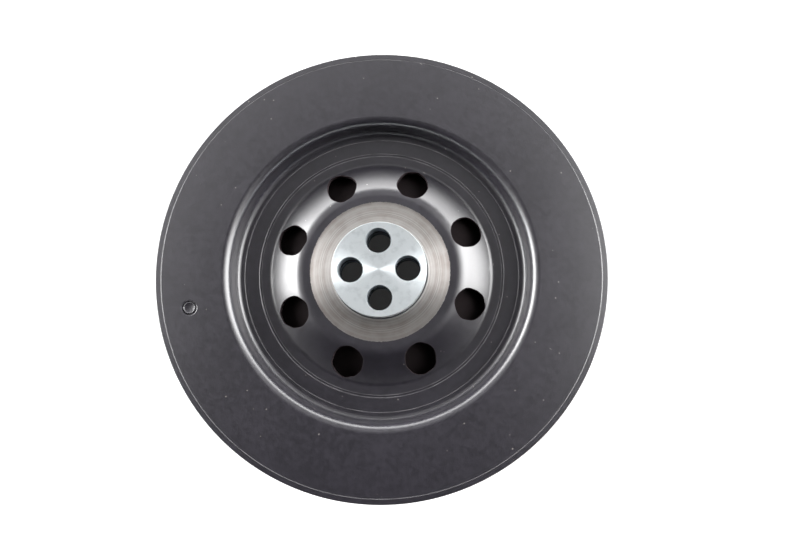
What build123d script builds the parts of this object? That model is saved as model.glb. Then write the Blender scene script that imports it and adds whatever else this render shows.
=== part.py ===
from build123d import *
import os
from math import cos, radians, sin, tan

# Crankshaft torsional vibration damper: a welded, silicone-filled steel housing with a loose
# inertia ring inside, and a poly-V belt pulley behind it that is decoupled by a rubber ring.
# Millimetres. The origin is the centre of the face that seats on the crankshaft nose, and +Z
# points away from the engine, along the crankshaft's axis. Radii are taken from that axis.

# ---- driving dimensions ---------------------------------------------------------------------

# front pressing: flat cover, rolled wall, annulus, cone with its vents, hub seat
outer_radius = 100.0
face_sheet = 3.5             # sheet thickness of the front pressing
face_rise = 2.0              # flat cover above the hub seat
dish_depth = 10.9            # flat cover down to the annulus
wall_foot_radius = 66.1      # sharp corner of annulus and wall
wall_taper = 4.0             # degrees from the axis
cone_foot_radius = 50.5      # sharp corner of cone and annulus
cone_angle = 32.0            # degrees from the annulus
dome_bend = 6.5              # outer bend, cone to hub seat
cone_foot_bend = 3.0
dish_foot_bend = 2.5
inside_bend = 0.5            # tightest inner bend of the sheet
vent_radius = 7.0
vent_circle_radius = 42.55
vent_count = 8
vent_turn = 25.15            # degrees from +X
weld_track_radius = 55.45    # annulus welded to the rear pressing under it
weld_track_width = 1.1
weld_track_depth = 0.3
draw_line_radius = 62.4      # mark that the drawing die leaves
draw_line_width = 0.6
draw_line_depth = 0.12
seam_bevel = 0.35            # each side of the outer weld seam

# hub seat, clamp disc and bolts
bare_seat_radius = 31.2
bare_seat_depth = 0.15
disc_radius = 20.75
disc_thickness = 8.5
disc_sink = 0.8              # how deep the disc sits in the seat
disc_clearance = 0.25
disc_mouth_bevel = 0.7
disc_edge_bevel = 0.5
bolt_hole_radius = 5.5
bolt_circle_radius = 12.5
bolt_count = 4
bolt_turn = 1.6              # degrees from +X
bolt_hole_bevel = 0.25

# rear pressing
housing_depth = 30.0
cup_sheet = 2.5
cup_flange_radius = 53.5     # inner edge of the flange under the annulus
cup_shoulder_bend = 3.0
cup_floor_bend = 2.0
rim_round = 0.9
weld_gap = 0.03

# filler plug
plug_radius = 2.6
plug_hole_clearance = 0.04
plug_mouth_radius = 3.05
plug_mouth_depth = 1.2
plug_mouth_bevel = 0.45
plug_set_back = 0.15         # plug's rim below the cover
plug_rim_width = 0.55
plug_dish_depth = 0.9
plug_inset = 14.3            # housing's outer edge to the plug's axis
plug_place_angle = 191.2     # degrees from +X
plug_end_gap = 0.2

# inertia ring and its bearings
ring_outer_gap = 0.5
ring_bore_gap = 1.2
ring_side_gap = 0.8
ring_bevel = 0.8
radial_bearing_length = 6.5
radial_bearing_thickness = 2.7
running_clearance = 0.06
seat_clearance = 0.03
thrust_ring_inner_radius = 75.0
thrust_ring_width = 6.0
thrust_ring_thickness = 1.8
thrust_clearance = 0.1

# crankshaft hub
hub_flange_thickness = 6.5
hub_radius = 31.0
hub_shoulder = 2.0           # how far the flange stands out over the carrier
crank_bore_radius = 24.0
crank_bore_length = 22.0
seat_corner = 0.6            # bevel left in the corner of the seat face and the bore
hub_bevel = 0.8

# pulley carrier
carrier_sheet = 3.0
carrier_flat = 5.5           # flat ring round the hub, before the cone
carrier_angle = 34.0         # degrees from the flat
drum_radius = 54.0
carrier_flat_bend = 4.0
drum_bend = 6.0

# decoupling rubber
rubber_thickness = 8.0
rubber_length = 17.0
rubber_hollow = 1.2          # how deep its ends draw in
rubber_bond = 0.02
rubber_working_gap = 0.3

# belt pulley
pulley_gap = 2.0             # behind the housing
web_span = 7.08              # from the inner ring to the rim
rib_pitch = 3.56
rib_count = 6
groove_depth = 2.9
groove_floor = 0.7
groove_angle = 40.0
rim_thickness = 4.0          # under the grooves
rim_margin = 2.2             # end groove to the lip
lip_height = 1.2
lip_width = 1.1
inner_ring_thickness = 3.7
pulley_web_thickness = 4.0
pulley_web_fillet = 1.5
guide_flange_thickness = 4.3
bush_thickness = 2.0
thrust_washer_width = 6.0
thrust_washer_thickness = 1.0
retainer_width = 4.5
retainer_thickness = 1.8
retainer_bevel = 0.4
stack_clearance = 0.1
drum_stand_out = 0.3         # drum's end past the retaining ring
rubber_end_gap = 1.0         # rubber to the guide flange

# ---- levels and radii that follow ----------------------------------------------------------

shoulder_radius = hub_radius + hub_shoulder
carrier_top = carrier_sheet
seat_level = hub_flange_thickness + face_sheet
face_level = seat_level + face_rise
annulus_level = face_level - dish_depth
annulus_back = annulus_level - face_sheet
face_back = face_level - face_sheet
bare_level = seat_level - bare_seat_depth
disc_base = bare_level - disc_sink
disc_top = disc_base + disc_thickness
disc_recess_radius = disc_radius + disc_clearance

plug_top = face_level - plug_set_back
plug_place_radius = outer_radius - plug_inset
plug_place = (
    plug_place_radius * cos(radians(plug_place_angle)),
    plug_place_radius * sin(radians(plug_place_angle)),
    0,
)

seam_radius = outer_radius - cup_sheet
dome_corner_radius = cone_foot_radius - (seat_level - annulus_level) / tan(radians(cone_angle))
wall_top_radius = wall_foot_radius + dish_depth * tan(radians(wall_taper))

floor_level = face_level - housing_depth
chamber_floor = floor_level + cup_sheet
chamber_bore = wall_foot_radius + face_sheet

ring_bore = chamber_bore + ring_bore_gap
ring_outer = seam_radius - ring_outer_gap
ring_top = face_back - ring_side_gap
ring_base = chamber_floor + ring_side_gap
bearing_bore = chamber_bore + running_clearance
bearing_outer = bearing_bore + radial_bearing_thickness
bearing_middle = (annulus_back - cup_shoulder_bend + chamber_floor + cup_floor_bend) / 2
bearing_base = bearing_middle - radial_bearing_length / 2
thrust_ring_outer_radius = thrust_ring_inner_radius + thrust_ring_width

carrier_corner_radius = hub_radius + carrier_flat
carrier_shoulder_level = carrier_top - (drum_radius - carrier_corner_radius) * tan(radians(carrier_angle))

groove_half_width = groove_floor / 2 + groove_depth * tan(radians(groove_angle / 2))
rim_half_width = (rib_count - 1) * rib_pitch / 2 + groove_half_width + rim_margin
rim_front = floor_level - pulley_gap
rim_middle = rim_front - rim_half_width
rim_back = rim_front - 2 * rim_half_width

drum_end = rim_back + drum_stand_out
retainer_base = drum_end + drum_stand_out
washer_base = retainer_base + retainer_thickness
guide_flange_base = washer_base + thrust_washer_thickness + stack_clearance
guide_flange_top = guide_flange_base + guide_flange_thickness
bush_outer = drum_radius + rubber_bond + bush_thickness
guide_bore = bush_outer + running_clearance
rubber_outer = drum_radius + rubber_bond + rubber_thickness
rubber_base = guide_flange_top + rubber_end_gap
rubber_top = rubber_base + rubber_length
inner_ring_bore = rubber_outer + rubber_working_gap
inner_ring_outer = inner_ring_bore + inner_ring_thickness
rim_bore = inner_ring_outer + web_span
rib_tip_radius = rim_bore + rim_thickness + groove_depth


# ---- housing -------------------------------------------------------------------------------

with BuildPart() as front_pressing:
    with BuildSketch(Plane.XZ):
        with BuildLine():
            FilletPolyline(
                (0, seat_level),
                (dome_corner_radius, seat_level),
                (cone_foot_radius, annulus_level),
                (wall_foot_radius, annulus_level),
                (wall_top_radius, face_level),
                (seam_radius - weld_gap, face_level),
                radius=[dome_bend, cone_foot_bend, dish_foot_bend, face_sheet + inside_bend],
            )
            offset(amount=face_sheet, side=Side.RIGHT)
        make_face()
    revolve(axis=Axis.Z)
    # bevel that makes one side of the V round the outer weld seam
    rim_edge = front_pressing.edges().filter_by(GeomType.CIRCLE).group_by(Axis.Z)[-1]
    chamfer(rim_edge.sort_by(SortBy.RADIUS)[-1], length=seam_bevel)
    # turned seat, the recess for the clamp disc and the two fine rings on the annulus
    with BuildSketch(Plane.XZ):
        with BuildLine():
            Polyline(
                (0, disc_base),
                (disc_recess_radius, disc_base),
                (disc_recess_radius, bare_level - disc_mouth_bevel),
                (disc_recess_radius + disc_mouth_bevel, bare_level),
                (bare_seat_radius, bare_level),
                (bare_seat_radius, seat_level),
                (0, seat_level),
                close=True,
            )
        make_face()
        with Locations((weld_track_radius, annulus_level - weld_track_depth / 2)):
            Trapezoid(weld_track_width, weld_track_depth, 45, rotation=180)
        with Locations((draw_line_radius, annulus_level - draw_line_depth / 2)):
            Trapezoid(draw_line_width, draw_line_depth, 45, rotation=180)
    revolve(axis=Axis.Z, mode=Mode.SUBTRACT)
    with PolarLocations(vent_circle_radius, vent_count, start_angle=vent_turn):
        Hole(vent_radius)
    with PolarLocations(bolt_circle_radius, bolt_count, start_angle=bolt_turn):
        Hole(bolt_hole_radius)
    # bored and bevelled mouth for the filler plug
    with PolarLocations(plug_place_radius, 1, start_angle=plug_place_angle):
        Hole(plug_radius + plug_hole_clearance)
    with BuildSketch(Plane.XY.offset(face_level)):
        with PolarLocations(plug_place_radius, 1, start_angle=plug_place_angle):
            Circle(plug_mouth_radius)
    extrude(amount=-plug_mouth_depth, mode=Mode.SUBTRACT)
    with BuildSketch(Plane.XY.offset(face_level)):
        with PolarLocations(plug_place_radius, 1, start_angle=plug_place_angle):
            Circle(plug_mouth_radius + plug_mouth_bevel)
    extrude(amount=-plug_mouth_bevel, taper=45, mode=Mode.SUBTRACT)
front_pressing.part.label = "front_pressing"

with BuildPart() as rear_pressing:
    with BuildSketch(Plane.XZ):
        with BuildLine():
            FilletPolyline(
                (cup_flange_radius, annulus_back),
                (chamber_bore, annulus_back),
                (chamber_bore, chamber_floor),
                (seam_radius, chamber_floor),
                (seam_radius, face_level),
                radius=[cup_shoulder_bend, cup_floor_bend, cup_floor_bend],
            )
            offset(amount=cup_sheet, side=Side.RIGHT)
        make_face()
    revolve(axis=Axis.Z)
    rim_edges = rear_pressing.edges().filter_by(GeomType.CIRCLE).group_by(Axis.Z)[-1]
    chamfer(rim_edges.sort_by(SortBy.RADIUS)[0], length=seam_bevel)
    rim_edges = rear_pressing.edges().filter_by(GeomType.CIRCLE).group_by(Axis.Z)[-1]
    fillet(rim_edges.sort_by(SortBy.RADIUS)[-1], radius=rim_round)
rear_pressing.part.label = "rear_pressing"

with BuildPart() as filler_plug:
    with BuildSketch(Plane(origin=plug_place, x_dir=(1, 0, 0), z_dir=(0, -1, 0))):
        with BuildLine():
            rim_middle_level = plug_top - plug_rim_width / 2
            dish_radius = plug_radius - plug_rim_width
            Polyline(
                (0, plug_top - plug_dish_depth),
                (0, face_back + plug_end_gap),
                (plug_radius, face_back + plug_end_gap),
                (plug_radius, rim_middle_level),
            )
            CenterArc((plug_radius - plug_rim_width / 2, rim_middle_level), plug_rim_width / 2, 0, 180)
            TangentArc(
                (0, plug_top - plug_dish_depth),
                (dish_radius, rim_middle_level),
                tangent=(1, 0),
            )
        make_face()
    revolve(axis=Axis(plug_place, (0, 0, 1)))
filler_plug.part.label = "filler_plug"

# ---- inertia ring and its bearings ---------------------------------------------------------

with BuildPart() as inertia_ring:
    with BuildSketch(Plane.XZ):
        with BuildLine():
            Polyline(
                (ring_bore, ring_base),
                (ring_outer, ring_base),
                (ring_outer, ring_top),
                (ring_bore, ring_top),
                close=True,
            )
        make_face()
        chamfer(vertices(), length=ring_bevel)
        # groove for the radial bearing, and one in each face for a thrust ring
        with Locations((ring_bore, bearing_middle)):
            Rectangle(
                2 * (bearing_outer + seat_clearance - ring_bore),
                radial_bearing_length + 2 * seat_clearance,
                mode=Mode.SUBTRACT,
            )
        thrust_groove_depth = thrust_ring_thickness - ring_side_gap + thrust_clearance
        thrust_middle = thrust_ring_inner_radius + thrust_ring_width / 2
        with Locations((thrust_middle, ring_base), (thrust_middle, ring_top)):
            Rectangle(
                thrust_ring_width + 2 * seat_clearance,
                2 * thrust_groove_depth,
                mode=Mode.SUBTRACT,
            )
    revolve(axis=Axis.Z)
inertia_ring.part.label = "inertia_ring"

with BuildPart() as radial_bearing:
    with BuildSketch(Plane.XY.offset(bearing_base)):
        Circle(bearing_outer)
        Circle(bearing_bore, mode=Mode.SUBTRACT)
    extrude(amount=radial_bearing_length)
radial_bearing.part.label = "radial_bearing"

with BuildPart() as front_thrust_ring:
    with BuildSketch(Plane.XY.offset(face_back - thrust_clearance)):
        Circle(thrust_ring_outer_radius)
        Circle(thrust_ring_inner_radius, mode=Mode.SUBTRACT)
    extrude(amount=-thrust_ring_thickness)
front_thrust_ring.part.label = "front_thrust_ring"

with BuildPart() as rear_thrust_ring:
    with BuildSketch(Plane.XY.offset(chamber_floor + thrust_clearance)):
        Circle(thrust_ring_outer_radius)
        Circle(thrust_ring_inner_radius, mode=Mode.SUBTRACT)
    extrude(amount=thrust_ring_thickness)
rear_thrust_ring.part.label = "rear_thrust_ring"

# ---- hub -----------------------------------------------------------------------------------

with BuildPart() as clamp_disc:
    with BuildSketch(Plane.XY.offset(disc_base)):
        Circle(disc_radius)
        with PolarLocations(bolt_circle_radius, bolt_count, start_angle=bolt_turn):
            Circle(bolt_hole_radius, mode=Mode.SUBTRACT)
    extrude(amount=disc_thickness)
    top_rims = clamp_disc.edges().filter_by(GeomType.CIRCLE).group_by(Axis.Z)[-1]
    chamfer(top_rims.group_by(SortBy.RADIUS)[-1], length=disc_edge_bevel)
    top_rims = clamp_disc.edges().filter_by(GeomType.CIRCLE).group_by(Axis.Z)[-1]
    chamfer(top_rims.group_by(SortBy.RADIUS)[0], length=bolt_hole_bevel)
clamp_disc.part.label = "clamp_disc"

with BuildPart() as crank_hub:
    with BuildSketch(Plane.XZ):
        with BuildLine():
            Polyline(
                (0, 0),
                (crank_bore_radius - seat_corner, 0),
                (crank_bore_radius, -seat_corner),
                (crank_bore_radius, hub_bevel - crank_bore_length),
                (crank_bore_radius + hub_bevel, -crank_bore_length),
                (hub_radius - hub_bevel, -crank_bore_length),
                (hub_radius, hub_bevel - crank_bore_length),
                (hub_radius, carrier_top),
                (shoulder_radius, carrier_top),
                (shoulder_radius, hub_flange_thickness),
                (0, hub_flange_thickness),
                close=True,
            )
        make_face()
    revolve(axis=Axis.Z)
    with PolarLocations(bolt_circle_radius, bolt_count, start_angle=bolt_turn):
        Hole(bolt_hole_radius)
crank_hub.part.label = "crank_hub"

# ---- decoupled belt pulley -----------------------------------------------------------------

with BuildPart() as pulley_carrier:
    with BuildSketch(Plane.XZ):
        with BuildLine():
            FilletPolyline(
                (hub_radius + seat_clearance, carrier_top),
                (carrier_corner_radius, carrier_top),
                (drum_radius, carrier_shoulder_level),
                (drum_radius, drum_end),
                radius=[carrier_sheet + carrier_flat_bend, drum_bend],
            )
            offset(amount=carrier_sheet, side=Side.RIGHT)
        make_face()
    revolve(axis=Axis.Z)
pulley_carrier.part.label = "pulley_carrier"

with BuildPart() as decoupling_rubber:
    with BuildSketch(Plane.XZ):
        with BuildLine():
            rubber_inner = drum_radius + rubber_bond
            rubber_middle = (rubber_inner + rubber_outer) / 2
            Line((rubber_inner, rubber_base), (rubber_inner, rubber_top))
            ThreePointArc(
                (rubber_inner, rubber_top),
                (rubber_middle, rubber_top - rubber_hollow),
                (rubber_outer, rubber_top),
            )
            Line((rubber_outer, rubber_top), (rubber_outer, rubber_base))
            ThreePointArc(
                (rubber_outer, rubber_base),
                (rubber_middle, rubber_base + rubber_hollow),
                (rubber_inner, rubber_base),
            )
        make_face()
    revolve(axis=Axis.Z)
decoupling_rubber.part.label = "decoupling_rubber"

with BuildPart() as belt_pulley:
    with BuildSketch(Plane.XZ):
        # guide flange and inner ring
        with BuildLine():
            Polyline(
                (guide_bore, guide_flange_base),
                (inner_ring_outer, guide_flange_base),
                (inner_ring_outer, rim_front),
                (inner_ring_bore, rim_front),
                (inner_ring_bore, guide_flange_top),
                (guide_bore, guide_flange_top),
                close=True,
            )
        make_face()
        # rim with its two lips
        with Locations((rim_bore, rim_middle)):
            Rectangle(
                rib_tip_radius - rim_bore,
                2 * rim_half_width,
                align=(Align.MIN, Align.CENTER),
            )
        with Locations((rib_tip_radius, rim_front - lip_width / 2), (rib_tip_radius, rim_back + lip_width / 2)):
            Rectangle(lip_height, lip_width, align=(Align.MIN, Align.CENTER))
        # web between ring and rim
        with Locations((inner_ring_outer, rim_middle)):
            Rectangle(
                rim_bore - inner_ring_outer,
                pulley_web_thickness,
                align=(Align.MIN, Align.CENTER),
            )
        web_corners = (
            vertices()
            .filter_by_position(Axis.X, inner_ring_outer - 0.01, rim_bore + 0.01)
            .filter_by_position(
                Axis.Y,
                rim_middle - pulley_web_thickness / 2 - 0.01,
                rim_middle + pulley_web_thickness / 2 + 0.01,
            )
        )
        fillet(web_corners, radius=pulley_web_fillet)
        # belt grooves
        for groove in range(rib_count):
            groove_level = rim_middle + (groove - (rib_count - 1) / 2) * rib_pitch
            with BuildLine():
                Polyline(
                    (rib_tip_radius, groove_level - groove_half_width),
                    (rib_tip_radius - groove_depth, groove_level - groove_floor / 2),
                    (rib_tip_radius - groove_depth, groove_level + groove_floor / 2),
                    (rib_tip_radius, groove_level + groove_half_width),
                    close=True,
                )
            make_face(mode=Mode.SUBTRACT)
    revolve(axis=Axis.Z)
belt_pulley.part.label = "belt_pulley"

with BuildPart() as guide_bush:
    with BuildSketch(Plane.XY.offset(guide_flange_base)):
        Circle(bush_outer)
        Circle(drum_radius + rubber_bond, mode=Mode.SUBTRACT)
    extrude(amount=guide_flange_thickness)
guide_bush.part.label = "guide_bush"

with BuildPart() as thrust_washer:
    with BuildSketch(Plane.XY.offset(washer_base)):
        Circle(drum_radius + thrust_washer_width)
        Circle(drum_radius + stack_clearance, mode=Mode.SUBTRACT)
    extrude(amount=thrust_washer_thickness)
thrust_washer.part.label = "thrust_washer"

with BuildPart() as retaining_ring:
    with BuildSketch(Plane.XY.offset(retainer_base)):
        Circle(drum_radius + retainer_width)
        Circle(drum_radius + rubber_bond, mode=Mode.SUBTRACT)
    extrude(amount=retainer_thickness)
    back_rims = retaining_ring.edges().filter_by(GeomType.CIRCLE).group_by(Axis.Z)[0]
    chamfer(back_rims.sort_by(SortBy.RADIUS)[-1], length=retainer_bevel)
retaining_ring.part.label = "retaining_ring"

os.makedirs("parts", exist_ok=True)
for piece in (
    front_pressing, rear_pressing, filler_plug, inertia_ring, radial_bearing, front_thrust_ring,
    rear_thrust_ring, clamp_disc, crank_hub, pulley_carrier, decoupling_rubber, belt_pulley,
    guide_bush, thrust_washer, retaining_ring,
):
    export_step(piece.part, f"parts/{piece.part.label}.step")
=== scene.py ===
"""Looks of a crankshaft torsional damper: dip-coated pressings, zinc-plated clamp disc, decoupled pulley."""

import logging
from collections.abc import Sequence
from dataclasses import dataclass
from enum import Enum
from math import ceil, cos, pi, radians, sin, tan

import bmesh
import bpy
import numpy as np
from mathutils import Matrix, Vector


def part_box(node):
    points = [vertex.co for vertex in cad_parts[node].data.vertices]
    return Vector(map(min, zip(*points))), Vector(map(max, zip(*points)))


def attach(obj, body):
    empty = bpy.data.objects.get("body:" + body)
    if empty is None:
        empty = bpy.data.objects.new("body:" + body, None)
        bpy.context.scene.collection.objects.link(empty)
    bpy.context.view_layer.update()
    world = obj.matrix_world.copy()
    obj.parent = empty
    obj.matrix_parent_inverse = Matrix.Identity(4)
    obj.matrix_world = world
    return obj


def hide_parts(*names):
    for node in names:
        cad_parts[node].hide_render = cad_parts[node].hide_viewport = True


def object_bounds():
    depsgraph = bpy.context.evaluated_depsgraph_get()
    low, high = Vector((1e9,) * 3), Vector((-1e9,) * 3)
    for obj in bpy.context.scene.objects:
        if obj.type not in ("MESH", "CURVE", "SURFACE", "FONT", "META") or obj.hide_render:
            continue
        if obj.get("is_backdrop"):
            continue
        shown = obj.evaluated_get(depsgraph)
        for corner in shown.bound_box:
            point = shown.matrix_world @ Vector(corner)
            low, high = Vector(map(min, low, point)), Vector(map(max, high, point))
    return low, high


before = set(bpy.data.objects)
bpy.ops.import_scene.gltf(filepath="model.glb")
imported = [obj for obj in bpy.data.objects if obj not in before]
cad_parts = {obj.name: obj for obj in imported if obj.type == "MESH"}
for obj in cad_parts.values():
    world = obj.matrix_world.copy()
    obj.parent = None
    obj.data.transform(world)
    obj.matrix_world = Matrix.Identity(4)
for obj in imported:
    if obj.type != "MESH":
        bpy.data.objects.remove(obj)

log = logging.getLogger("damper")

MM = 0.001
SEGMENTS = 360               # steps of a full turn
MERGE = 0.0005               # points closer than this, in mm, are one
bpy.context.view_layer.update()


class Body(Enum):
    """The bodies that the pieces move with."""

    HOUSING = "housing"
    PULLEY = "pulley"


class Slot(Enum):
    """The record's material slots."""

    COATED_STEEL = "coated_steel"
    ZINC_PLATED_STEEL = "zinc_plated_steel"
    MACHINED_STEEL = "machined_steel"
    COATED_PULLEY = "coated_pulley"
    RUBBER = "decoupling_rubber"
    PLASTIC = "bearing_plastic"
    SPRING_STEEL = "spring_steel"


# ---- surfaces ------------------------------------------------------------------------------


@dataclass(frozen=True)
class Patch:
    """A grid of points in mm with the unit normal of the surface at each.

    Rows run one way and columns the other. The finish is the number of the piece's material.
    """

    points: np.ndarray
    normals: np.ndarray
    finish: int = 0


@dataclass(frozen=True)
class Run:
    """A smooth stretch of a profile: points (radius, height) in mm and the outward unit normal at each."""

    points: np.ndarray
    normals: np.ndarray

    def back(self, sheet: float) -> "Run":
        """The same stretch on the other side of a sheet: each point moved back along its normal by it."""
        return Run((self.points - sheet * self.normals)[::-1], -self.normals[::-1])

    def between(self, low: float, high: float) -> "Run":
        """The part of the stretch from one radius to another, cut where it crosses them.

        Args:
            low: The smaller radius in mm.
            high: The larger radius in mm.

        Returns:
            The part, in the direction of the stretch itself.
        """
        rising = self.points[-1, 0] > self.points[0, 0]
        points = self.points if rising else self.points[::-1]
        normals = self.normals if rising else self.normals[::-1]
        inside = (points[:, 0] > low + 1e-6) & (points[:, 0] < high - 1e-6)
        radii = np.concatenate(([low], points[inside, 0], [high]))
        columns = [np.interp(radii, points[:, 0], column) for column in (points[:, 1], *normals.T)]
        turned = np.stack(columns[1:], axis=1)
        turned /= np.linalg.norm(turned, axis=1, keepdims=True)
        cut = Run(np.stack((radii, columns[0]), axis=1), turned)
        return cut if rising else Run(cut.points[::-1], cut.normals[::-1])

    def at(self, radii: np.ndarray) -> tuple[np.ndarray, np.ndarray]:
        """Heights and normals of the stretch at these radii, by straight interpolation between its points.

        Args:
            radii: Radii in mm, in any shape.

        Returns:
            The heights in the same shape, and the normals with one more axis of two.
        """
        order = np.argsort(self.points[:, 0])
        known = self.points[order, 0]
        heights = np.interp(radii, known, self.points[order, 1])
        across, up = (np.interp(radii, known, column) for column in self.normals[order].T)
        size = np.hypot(across, up)
        return heights, np.stack((across / size, up / size), axis=-1)


@dataclass(frozen=True)
class Corner:
    """A corner of a profile: radius from the axis, height and bend radius, all in mm."""

    r: float
    z: float
    bend: float = 0.0


def runs_of(corners: Sequence[Corner], closed: bool = True, arc_step: float = 6.0) -> list[Run]:
    """Works out the smooth stretches of a profile whose corners are bent to arcs.

    Along an edge the outward normal is the edge's direction turned a quarter turn to the right. At a bend of
    radius R and turn T the arc leaves each edge at R times tan(T / 2) from the corner, and its normal turns
    evenly from one edge's normal to the other's. A corner with no bend ends one stretch and starts the next.

    Args:
        corners: The corners in order, the material on the left.
        closed: Whether the last corner joins the first.
        arc_step: Largest turn between two points of an arc, in degrees.

    Returns:
        The stretches in order.
    """
    places = np.array([(corner.r, corner.z) for corner in corners], float)
    count = len(places)
    edges = count if closed else count - 1
    along = np.array([places[(i + 1) % count] - places[i] for i in range(edges)])
    along /= np.linalg.norm(along, axis=1, keepdims=True)
    outward = np.stack((along[:, 1], -along[:, 0]), axis=1)
    stretches: list[Run] = []
    points: list[np.ndarray] = []
    normals: list[np.ndarray] = []

    def finish_stretch() -> None:
        """Closes the stretch that is being collected, if it has any length."""
        if len(points) > 1:
            stretches.append(Run(np.array(points), np.array(normals)))
        points.clear()
        normals.clear()

    sharp = [i for i in range(count) if corners[i].bend == 0]
    first = sharp[0] if closed and sharp else 0
    for step in range(edges + 1):
        i = (first + step) % count
        before = (i - 1) % count
        if 0 < step < edges and corners[i].bend > 0:
            turn = np.arccos(np.clip(along[before] @ along[i], -1, 1))
            side = np.sign(along[before, 0] * along[i, 1] - along[before, 1] * along[i, 0])
            leaves = places[i] - corners[i].bend * tan(turn / 2) * along[before]
            centre = leaves - side * corners[i].bend * outward[before]
            shares = np.linspace(0, 1, max(2, ceil(np.degrees(turn) / arc_step)) + 1)[:, None]
            mixed = np.sin((1 - shares) * turn) * outward[before] + np.sin(shares * turn) * outward[i]
            mixed /= np.sin(turn)
            points.extend(centre + side * corners[i].bend * mixed)
            normals.extend(mixed)
            continue
        if step > 0:
            points.append(places[i])
            normals.append(outward[before])
            finish_stretch()
        if step < edges:
            points.append(places[i])
            normals.append(outward[i])
    finish_stretch()
    return stretches


def revolved(run: Run, angles: np.ndarray | None = None) -> Patch:
    """Turns a stretch about the Z axis: (r cos a, r sin a, z) for each point of the stretch and each angle a.

    Args:
        run: The stretch to turn.
        angles: The angles in radians; a full turn in SEGMENTS steps if left out.

    Returns:
        The surface, one row for each point of the stretch.
    """
    if angles is None:
        angles = np.linspace(0, 2 * pi, SEGMENTS + 1)
    turn = np.stack((np.cos(angles), np.sin(angles)))
    flat, lean = run.points[:, 0, None], run.normals[:, 0, None]
    up = np.ones_like(angles)[None, :]
    points = np.stack((flat * turn[0], flat * turn[1], run.points[:, 1, None] * up), axis=-1)
    normals = np.stack((lean * turn[0], lean * turn[1], run.normals[:, 1, None] * up), axis=-1)
    return Patch(points, normals)


def grid_normals(points: np.ndarray) -> np.ndarray:
    """Normals of a grid that closes along its columns: the cross product of the mean directions each way.

    Args:
        points: The grid, its last column the same as its first.

    Returns:
        Unit normals in the same shape.
    """
    def unit(vectors: np.ndarray) -> np.ndarray:
        """The vectors at length one."""
        return vectors / np.maximum(np.linalg.norm(vectors, axis=-1, keepdims=True), 1e-12)

    down = unit(np.diff(points, axis=0))
    down = np.concatenate((down[:1], down[:-1] + down[1:], down[-1:]))
    ring = np.diff(points, axis=1)
    ring = unit(ring)
    ring = np.concatenate((ring, ring[:, :1]), axis=1) + np.concatenate((ring[:, -1:], ring), axis=1)
    return unit(np.cross(down, ring))


@dataclass(frozen=True)
class HoleRow:
    """Equal upright holes on a circle, cut through a sheet within a band of radii. Millimetres and degrees.

    The edges list (how far outside the hole, how far into the sheet) from the sheet's face to the wall.
    """

    circle: float
    count: int
    turn: float
    radius: float
    inner: float
    outer: float
    columns: int
    front_edge: tuple[tuple[float, float], ...] = ((0.0, 0.0),)
    back_edge: tuple[tuple[float, float], ...] = ((0.0, 0.0),)
    soft_edges: bool = False
    ragged: float = 0.0
    seed: int = 1
    across: int = 12
    rings: int = 9
    wall_finish: int = 0

    def first_column(self, hole: int) -> int:
        """The column of the whole circle at which this hole's window starts."""
        middle = (self.turn + 360 * hole / self.count) * SEGMENTS / 360
        return round(middle - self.columns / 2)

    def radii(self) -> np.ndarray:
        """Radii of the rows of the band, from inside to outside."""
        return np.linspace(self.inner, self.outer, self.across + 1)

    def border(self, hole: int) -> tuple[np.ndarray, np.ndarray]:
        """Radius and angle of each point round a hole's window, closed, against the hands of a clock.

        Args:
            hole: Which hole, from 0.

        Returns:
            The radii in mm and the angles in radians.
        """
        start = self.first_column(hole)
        columns = 2 * pi * (start + np.arange(self.columns + 1)) / SEGMENTS
        radii = self.radii()
        out, back = np.full(self.columns, self.outer), np.full(self.columns, self.inner)
        last, first = np.full(self.across, columns[-1]), np.full(self.across + 1, columns[0])
        r = np.concatenate((out, radii[:0:-1], back, radii))
        a = np.concatenate((columns[:-1], last, columns[:0:-1], first))
        return r, a

    def rim(self, hole: int, outside: float) -> tuple[np.ndarray, np.ndarray]:
        """Points on a hole's outline, one for each point of its window's border, seen from the hole's axis.

        The radius is the hole's own, plus the given distance, plus a ragged part: a sum of nine waves round
        the hole whose size falls with their number.

        Args:
            hole: Which hole, from 0.
            outside: How far outside the hole's wall, in mm.

        Returns:
            The points' X and Y in mm.
        """
        r, a = self.border(hole)
        centre = radians(self.turn + 360 * hole / self.count)
        round_hole = np.arctan2(r * np.sin(a - centre), r * np.cos(a - centre) - self.circle)
        draw = np.random.default_rng(self.seed + hole)
        waves = np.arange(2, 11)
        sizes = draw.normal(size=waves.size) * self.ragged / waves**0.8
        starts = draw.uniform(0, 2 * pi, waves.size)
        uneven = (sizes[:, None] * np.cos(waves[:, None] * round_hole + starts[:, None])).sum(axis=0)
        size = self.radius + outside + uneven
        x = self.circle + size * np.cos(round_hole)
        y = size * np.sin(round_hole)
        return x * cos(centre) - y * sin(centre), x * sin(centre) + y * cos(centre)


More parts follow.
